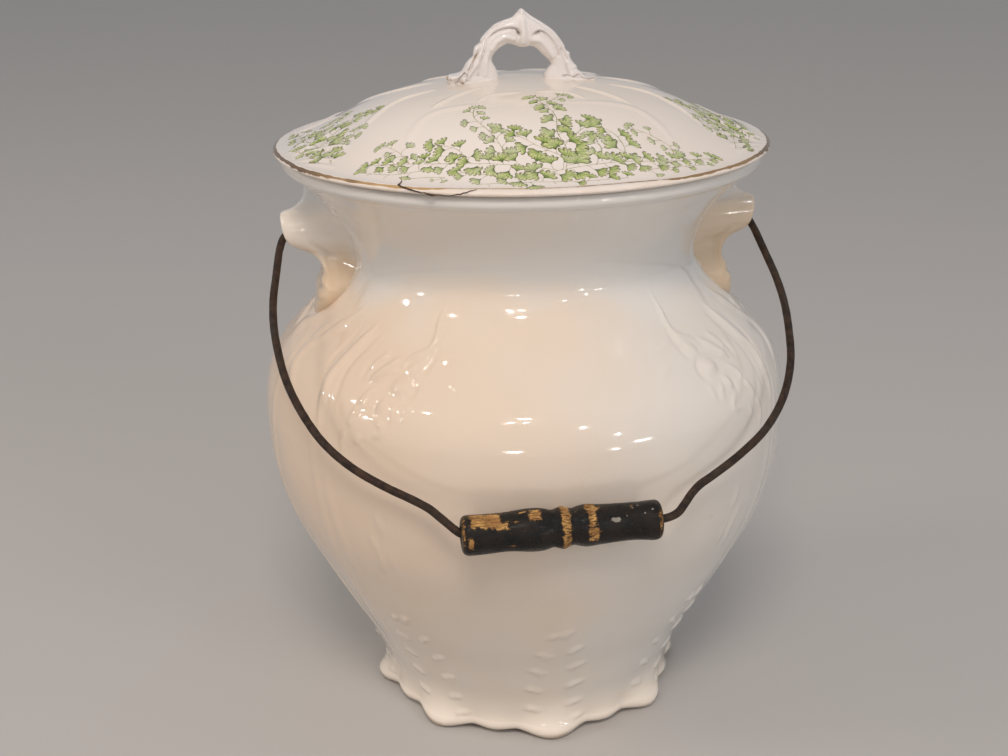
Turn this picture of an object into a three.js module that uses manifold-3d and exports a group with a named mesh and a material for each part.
// A lidded chamber pail of white glazed earthenware with a wire bail and a turned wooden grip.
// Units are millimetres and +Z is up. The origin is the centre of the foot on the ground.
// The front, where the bail hangs, faces -Y. The two ears that carry the bail lie on the X axis.

import * as THREE from 'three';
import { mergeVertices } from 'three/addons/utils/BufferGeometryUtils.js';
import Module from 'manifold-3d';

const wasm = await Module();
wasm.setup();

// Pot
const SEAM = 0.3;            // gap between two pieces that the glaze joins
const POT_STEPS = 80;        // facets round the pot, ten for each broad lobe of the foot
const LID_STEPS = 64;
const WALL_STEPS_BELOW = 9;  // facets up the outer wall, below and above the widest part
const WALL_STEPS_ABOVE = 16;
const POT_WALL = 6;
const POT_FLOOR = 12;
const BODY_BASE_RADIUS = 72.5;
const NECK_RADIUS = 85.3;
const NECK_HEIGHT = 240;
const BELLY_RADIUS = 132.6;
const BELLY_HEIGHT = 163;
const NECK_TOP = new THREE.Vector2(114.6, 283);
const RIM_RADIUS = 118.3;
const RIM_TOP = 290.2;
const MOUTH_RADIUS = 111;

// Scalloped foot: eight broad lobes with a small one between each two
const FOOT_MEAN = 78.3;
const FOOT_LOBES = [5.2, 1.3, -2.05];   // cosine heights at 8, 16 and 24 waves a turn
const FOOT_FLARE_TOP = 24;
const FOOT_LIP = 4;

// Lid
const LID_RADIUS = 121.5;
const LID_SEAT = RIM_TOP + SEAM;
const LID_THICKNESS = 5.2;
const DOME_TOP = 322.6;
const FLANGE_RADIUS = 106;
const FLANGE_WALL = 4;
const FLANGE_DEPTH = 8;

// Lid handle
const HANDLE_THICKNESS = 12;
const HANDLE_BEVEL = 3;

// Ears and bail
const PIVOT_HEIGHT = 250;
const EAR_BORE_RADIUS = 2.4;
const EAR_BORE_BOTTOM = 104;
const EAR_MOUTH_RADIUS = 6.5;
const EAR_FACE = 118.7;
const WIRE_RADIUS = 1.75;
const BAIL_REST = THREE.MathUtils.degToRad(54.4); // from straight down, towards the front
const WIRE_STEPS_PER_POINT = 3;
const WIRE_SIDES = 8;

// Grip
const GRIP_LENGTH = 89;
const GRIP_BORE_RADIUS = 2.4;
const GRIP_STEPS = 20;
const GRIP_REACH = 175.1;                         // from the pivot axis to the grip's axis
const GRIP_TILT = -0.0274;                        // rise of the grip's axis per millimetre of X

// Finishes
const glaze = new THREE.MeshStandardMaterial({ color: 0xece4d8, roughness: 0.12 });
const creamGlaze = new THREE.MeshStandardMaterial({ color: 0xe6dac2, roughness: 0.14 });
const rustyWire = new THREE.MeshStandardMaterial({ color: 0x33251f, roughness: 0.6, metalness: 0.6 });
const blackPaint = new THREE.MeshStandardMaterial({ color: 0x1c1815, roughness: 0.45 });

// A smooth curve through (radius, height) points, as a list of points
function smooth(points, steps) {
  return new THREE.SplineCurve(points.map(([x, y]) => new THREE.Vector2(x, y))).getPoints(steps);
}

// The same outline moved sideways, to the left of its direction, by a fixed distance
function shifted(outline, distance) {
  return outline.map((point, i) => {
    const before = outline[Math.max(i - 1, 0)];
    const after = outline[Math.min(i + 1, outline.length - 1)];
    const along = after.clone().sub(before).normalize();
    return new THREE.Vector2(point.x - along.y * distance, point.y + along.x * distance);
  });
}

// Only the positions, with shared points joined, no flat faces, and the faces turned outwards
function weld(geometry) {
  const bare = geometry.clone();
  bare.deleteAttribute('normal');
  bare.deleteAttribute('uv');
  const merged = mergeVertices(bare, 1e-4);
  const index = merged.index.array;
  const corners = [new THREE.Vector3(), new THREE.Vector3(), new THREE.Vector3()];
  const kept = [];
  let volume = 0;
  for (let i = 0; i < index.length; i += 3) {
    const [a, b, c] = [index[i], index[i + 1], index[i + 2]];
    if (a === b || b === c || c === a) continue;
    corners.forEach((corner, k) => corner.fromBufferAttribute(merged.attributes.position, [a, b, c][k]));
    volume += corners[0].dot(corners[1].clone().cross(corners[2]));
    kept.push(a, b, c);
  }
  if (volume < 0) kept.reverse();
  merged.setIndex(kept);
  return merged;
}

function toSolid(geometry) {
  const welded = weld(geometry);
  return new wasm.Manifold(new wasm.Mesh({
    numProp: 3,
    vertProperties: new Float32Array(welded.attributes.position.array),
    triVerts: new Uint32Array(welded.index.array),
  }));
}

function toGeometry(solid) {
  const mesh = solid.getMesh();
  const geometry = new THREE.BufferGeometry();
  geometry.setAttribute('position', new THREE.BufferAttribute(mesh.vertProperties, 3));
  geometry.setIndex(new THREE.BufferAttribute(mesh.triVerts, 1));
  return geometry;
}

// A body of revolution about Z from (radius, height) points that start and end on the axis
function turned(outline, steps) {
  return weld(new THREE.LatheGeometry(outline, steps).rotateX(Math.PI / 2));
}

// A closed body through rings of points, each end shut with a fan
function lofted(rings) {
  const count = rings[0].length;
  const points = rings.flat();
  const index = [];
  for (let i = 0; i < rings.length - 1; i++) {
    for (let j = 0; j < count; j++) {
      const [a, b] = [i * count + j, i * count + (j + 1) % count];
      index.push(a, b, a + count, b, b + count, a + count);
    }
  }
  for (const [first, forward] of [[0, false], [(rings.length - 1) * count, true]]) {
    for (let j = 1; j < count - 1; j++) {
      index.push(first, first + (forward ? j : j + 1), first + (forward ? j + 1 : j));
    }
  }
  const geometry = new THREE.BufferGeometry();
  geometry.setFromPoints(points);
  geometry.setIndex(index);
  return weld(geometry);
}

// The pot's outer wall from the foot to the neck's top: full belly, narrow neck, flared mouth
function potOutline(lowerSteps, upperSteps) {
  const lower = smooth([
    [BODY_BASE_RADIUS, 0], [73.6, 8], [76.2, 16], [80.2, 26], [88.8, 45], [100.2, 65], [113.5, 90],
    [125.2, 115], [131.2, 140], [BELLY_RADIUS, BELLY_HEIGHT],
  ], lowerSteps);
  const upper = smooth([
    [BELLY_RADIUS, BELLY_HEIGHT], [130.6, 178], [125.2, 190], [116.6, 200], [107.2, 210], [97.8, 220],
    [89.6, 230], [NECK_RADIUS, NECK_HEIGHT], [88.9, 254], [98.6, 268], [109, 278], NECK_TOP.toArray(),
  ], upperSteps);
  return [...lower, ...upper.slice(1)];
}

function footEdge(angle) {
  return FOOT_LOBES.reduce((sum, height, i) => sum + height * Math.cos(8 * (i + 1) * angle), FOOT_MEAN);
}

// The lobes stand out fully at the lip and fade into the wall above it
function scallop(geometry) {
  const position = geometry.attributes.position;
  for (let i = 0; i < position.count; i++) {
    const [x, y, z] = [position.getX(i), position.getY(i), position.getZ(i)];
    const radius = Math.hypot(x, y);
    if (z > FOOT_FLARE_TOP || radius < BODY_BASE_RADIUS - POT_WALL) continue;
    const fade = (1 - Math.max(z - FOOT_LIP, 0) / (FOOT_FLARE_TOP - FOOT_LIP)) ** 1.7;
    const grown = radius + (footEdge(Math.atan2(y, x)) - BODY_BASE_RADIUS) * fade;
    position.setXY(i, x * grown / radius, y * grown / radius);
  }
  return geometry;
}

function potBody() {
  const wall = potOutline(WALL_STEPS_BELOW, WALL_STEPS_ABOVE).filter((point) => point.y > FOOT_LIP);
  const inside = shifted(potOutline(6, 9), POT_WALL).filter((point) => point.y > 24).reverse();
  const outline = [
    new THREE.Vector2(0, 0),
    new THREE.Vector2(BODY_BASE_RADIUS - 4.6, 0),
    new THREE.Vector2(BODY_BASE_RADIUS - 1.4, 1.5),
    new THREE.Vector2(BODY_BASE_RADIUS + 0.2, FOOT_LIP),
    ...wall,
    new THREE.Vector2(RIM_RADIUS - 1.2, 284.2),
    new THREE.Vector2(RIM_RADIUS, 286.8),
    new THREE.Vector2(RIM_RADIUS - 0.9, 289.3),
    new THREE.Vector2(RIM_RADIUS - 3, RIM_TOP),
    new THREE.Vector2(MOUTH_RADIUS + 1.4, RIM_TOP),
    new THREE.Vector2(MOUTH_RADIUS, 288.8),
    ...inside,
    new THREE.Vector2(62, POT_FLOOR + 2.5),
    new THREE.Vector2(50, POT_FLOOR),
    new THREE.Vector2(0, POT_FLOOR),
  ];
  return scallop(turned(outline, POT_STEPS));
}

// The pot as a plain solid, a seam's width larger, that the ears are trimmed with
function potTrimmer() {
  const wall = shifted(potOutline(WALL_STEPS_BELOW, WALL_STEPS_ABOVE), -SEAM);
  wall[0].y = 0;
  return toSolid(turned([
    new THREE.Vector2(0, 0), ...wall,
    new THREE.Vector2(RIM_RADIUS + 1, 283), new THREE.Vector2(RIM_RADIUS + 1, 300), new THREE.Vector2(0, 300),
  ], POT_STEPS));
}

// One level of an ear: broad where it meets the neck, drawn in to the blunt end that holds the wire
function earRing(height, reach, tipHalf, rootHalf) {
  const root = 74;
  const side = [];
  for (let i = 0; i <= 9; i++) {
    const t = i / 9;
    const flare = tipHalf + (rootHalf - tipHalf) * (1 - t) ** 2.2;
    const nose = Math.sqrt(Math.max(1 - Math.max((t - 0.8) / 0.2, 0) ** 2.6, 0));
    side.push([root + (reach - root) * Math.sin(t * Math.PI / 2), flare * (0.45 + 0.55 * nose)]);
  }
  return [
    ...side.map(([x, y]) => new THREE.Vector3(x, -y, height)),
    ...side.reverse().map(([x, y]) => new THREE.Vector3(x, y, height)),
  ];
}

// The right ear: a crescent from under the rim to the shoulder, with a snout towards the side
function ear(trimmer) {
  const body = toSolid(lofted([
    earRing(206, 105.4, 3, 5), earRing(211, 105.8, 6, 15), earRing(216, 105.2, 7, 20.5),
    earRing(221, 103.8, 7.4, 23.6), earRing(226, 101.9, 7.4, 25.5), earRing(230, 101.4, 7, 26.2),
    earRing(234, 102.6, 6.8, 26.3), earRing(237.4, 105.4, 6.8, 26.1), earRing(240, 109.6, 7, 25.8),
    earRing(242, 113, 7.2, 25.5), earRing(244.6, 115.4, 7.6, 25), earRing(248, 117.2, 8, 24.2),
    earRing(253, 118.4, 8, 23), earRing(256.4, EAR_FACE, 7.6, 22.1), earRing(258.6, 117.2, 6.8, 21.4),
    earRing(260.4, 113.4, 6.2, 20.8), earRing(263.6, 110, 5.6, 19.6), earRing(269, 108, 5, 17),
    earRing(277, 107.6, 4, 12), earRing(285, 107.6, 3, 7),
  ]));
  const across = (radiusOut, radiusIn, from, to) => toSolid(
    new THREE.CylinderGeometry(radiusIn, radiusOut, to - from, 20)
      .rotateZ(Math.PI / 2)
      .translate((from + to) / 2, 0, PIVOT_HEIGHT),
  );
  const bore = across(EAR_BORE_RADIUS, EAR_BORE_RADIUS, EAR_BORE_BOTTOM, EAR_FACE);
  const mouth = across(EAR_MOUTH_RADIUS, EAR_BORE_RADIUS, 113.5, EAR_FACE + 2);
  return body.subtract(trimmer).subtract(bore).subtract(mouth);
}

// The lid's upper face from the centre to the edge
function domeOutline(steps) {
  return smooth([
    [0, DOME_TOP], [18, DOME_TOP - 0.3], [35, 321], [50, 318.7], [65, 315], [80, 309.4], [94, 302.6],
    [106, 297], [114, 294.4], [LID_RADIUS - 1.8, 293.6],
  ], steps);
}

function lid() {
  const inside = shifted(domeOutline(8), -LID_THICKNESS).filter((point) => point.x < 92).reverse();
  inside[inside.length - 1].x = 0;
  return turned([
    ...domeOutline(12),
    new THREE.Vector2(LID_RADIUS, 292.2),
    new THREE.Vector2(LID_RADIUS - 0.9, 291),
    new THREE.Vector2(LID_RADIUS - 3, LID_SEAT),
    new THREE.Vector2(FLANGE_RADIUS + 1.5, LID_SEAT),
    new THREE.Vector2(FLANGE_RADIUS, LID_SEAT - 2),
    new THREE.Vector2(FLANGE_RADIUS - 0.5, LID_SEAT - FLANGE_DEPTH + 1),
    new THREE.Vector2(FLANGE_RADIUS - 2, LID_SEAT - FLANGE_DEPTH),
    new THREE.Vector2(FLANGE_RADIUS - FLANGE_WALL, LID_SEAT - FLANGE_DEPTH + 1.2),
    new THREE.Vector2(FLANGE_RADIUS - FLANGE_WALL - 2, LID_SEAT + 2),
    ...inside,
  ], LID_STEPS);
}

// A leafy arch: a pointed top, sides that spread into feet, and an opening for the fingers
function lidHandle() {
  const outer = [[36.6, 323.6], [35.6, 325.9], [29.4, 327.6], [26.6, 331.6], [22.6, 338], [17.4, 344.4],
    [10.8, 349.6], [4, 353]];
  const inner = [[11.2, 325], [12, 328], [14.1, 331.2], [12.4, 335.2], [8.6, 338.8], [4.4, 339.6]];
  const mirror = ([x, z]) => [-x, z];
  const arch = [...outer, [0, 355.7], ...outer.map(mirror).reverse()];
  const opening = [...inner.map(mirror), [0, 337.4], ...inner.slice().reverse()];
  const shape = new THREE.Shape([
    new THREE.Vector2(36.6, 312), ...smooth(arch, 44),
    new THREE.Vector2(-36.6, 312), new THREE.Vector2(-11, 312),
    ...smooth(opening, 26), new THREE.Vector2(11, 312),
  ]);
  const arched = new THREE.ExtrudeGeometry(shape, {
    depth: HANDLE_THICKNESS - 2 * HANDLE_BEVEL,
    bevelThickness: HANDLE_BEVEL,
    bevelSize: 2,
    bevelOffset: -2,
    bevelSegments: 2,
  });
  arched.translate(0, 0, HANDLE_BEVEL - HANDLE_THICKNESS / 2).rotateX(Math.PI / 2);
  const under = turned([
    ...domeOutline(12).map((point) => new THREE.Vector2(point.x, point.y + SEAM)),
    new THREE.Vector2(LID_RADIUS, 280), new THREE.Vector2(0, 280),
  ], LID_STEPS);
  return toSolid(arched).subtract(toSolid(under));
}

// A point of the bail: how far across, and how far from the pivot axis in the bail's own plane
function bailPoint(x, reach) {
  return new THREE.Vector3(x, -reach * Math.sin(BAIL_REST), PIVOT_HEIGHT - reach * Math.cos(BAIL_REST));
}

function gripAxisReach(x) {
  return GRIP_REACH + GRIP_TILT * x;
}

// One bent wire: a pin in each ear, a bowed leg at each side, and a straight stretch in the grip.
// The whole bend lies in one plane, so each ring of the wire spans that plane's normal.
function bailWire() {
  const left = [[-106, 0], [-116, 0], [-119.4, 1.6], [-120.8, 7], [-121.3, 15], [-122.3, 26], [-123.8, 41],
    [-123.9, 56], [-122.5, 71], [-118.9, 90], [-112.1, 108.6], [-103, 125], [-91.4, 138.2], [-78.1, 148.6],
    [-64.3, 157.5], [-58.4, 161.6], [-54, 167], [-51, 173]];
  const right = [[106, 0], [116, 0], [119.4, 1.6], [120.8, 7], [121.3, 15], [122.3, 26], [123.6, 41],
    [123.8, 56], [122.4, 73], [118.8, 93.7], [111, 113.5], [99.2, 130.3], [84.7, 143.2], [70, 153.6],
    [64.4, 157.6], [60.2, 162], [56.2, 167], [52.4, 171.4]];
  const straight = [-47, -42, 0, 42, 47].map((x) => [x, gripAxisReach(x)]);
  const points = [...left, ...straight, ...right.reverse()];
  const path = new THREE.CatmullRomCurve3(
    points.map(([x, reach]) => bailPoint(x, reach)), false, 'centripetal',
  );
  const across = new THREE.Vector3(0, Math.cos(BAIL_REST), -Math.sin(BAIL_REST));
  const steps = (points.length - 1) * WIRE_STEPS_PER_POINT;
  const rings = Array.from({ length: steps + 1 }, (_, i) => {
    const centre = path.getPoint(i / steps);
    const inward = path.getTangent(i / steps).cross(across);
    return Array.from({ length: WIRE_SIDES }, (__, side) => {
      const angle = side * 2 * Math.PI / WIRE_SIDES;
      return centre.clone()
        .addScaledVector(across, WIRE_RADIUS * Math.cos(angle))
        .addScaledVector(inward, WIRE_RADIUS * Math.sin(angle));
    });
  });
  return lofted(rings);
}

// A turned wooden handle, threaded on the wire: two swells with a bead and a ring between them
function bailGrip() {
  const half = GRIP_LENGTH / 2;
  const turning = smooth([
    [8.9, 4], [8.7, 12], [8.6, 20], [9.5, 30], [9.3, 35.6], [8.2, 40], [8.7, 42.2], [9.4, 44.8],
    [8.7, 47], [8.1, 49.2], [9, 53], [9.3, 56], [8.9, 61], [8.4, 70], [8.4, 78], [8.9, 85],
  ], 26);
  const outline = [
    new THREE.Vector2(GRIP_BORE_RADIUS, -half),
    new THREE.Vector2(5.8, -half),
    new THREE.Vector2(8.1, 1.4 - half),
    ...turning.map((point) => new THREE.Vector2(point.x, point.y - half)),
    new THREE.Vector2(8.1, half - 1.4),
    new THREE.Vector2(5.8, half),
    new THREE.Vector2(GRIP_BORE_RADIUS, half),
    new THREE.Vector2(GRIP_BORE_RADIUS, -half),
  ];
  return weld(new THREE.LatheGeometry(outline, GRIP_STEPS));
}

function named(name, geometry, material) {
  const mesh = new THREE.Mesh(geometry, material);
  mesh.name = name;
  return mesh;
}

const group = new THREE.Group();

group.add(named('pot_body', potBody(), glaze));

const earSolid = ear(potTrimmer());
group.add(named('ear_right', toGeometry(earSolid), creamGlaze));
group.add(named('ear_left', toGeometry(earSolid.mirror([1, 0, 0])), creamGlaze));

const cover = new THREE.Group();
cover.add(named('lid', lid(), glaze));
cover.add(named('lid_handle', toGeometry(lidHandle()), glaze));
group.add(cover);

const bail = new THREE.Group();
bail.add(named('bail_wire', bailWire(), rustyWire));
const grip = named('bail_grip', bailGrip(), blackPaint);
const gripEnds = [-1, 1].map((x) => bailPoint(x, gripAxisReach(x)));
const gripAxis = gripEnds[1].clone().sub(gripEnds[0]).normalize();
grip.position.copy(bailPoint(0.5, gripAxisReach(0.5)));
grip.quaternion.setFromUnitVectors(new THREE.Vector3(0, 1, 0), gripAxis);
bail.add(grip);
group.add(bail);

export default group;
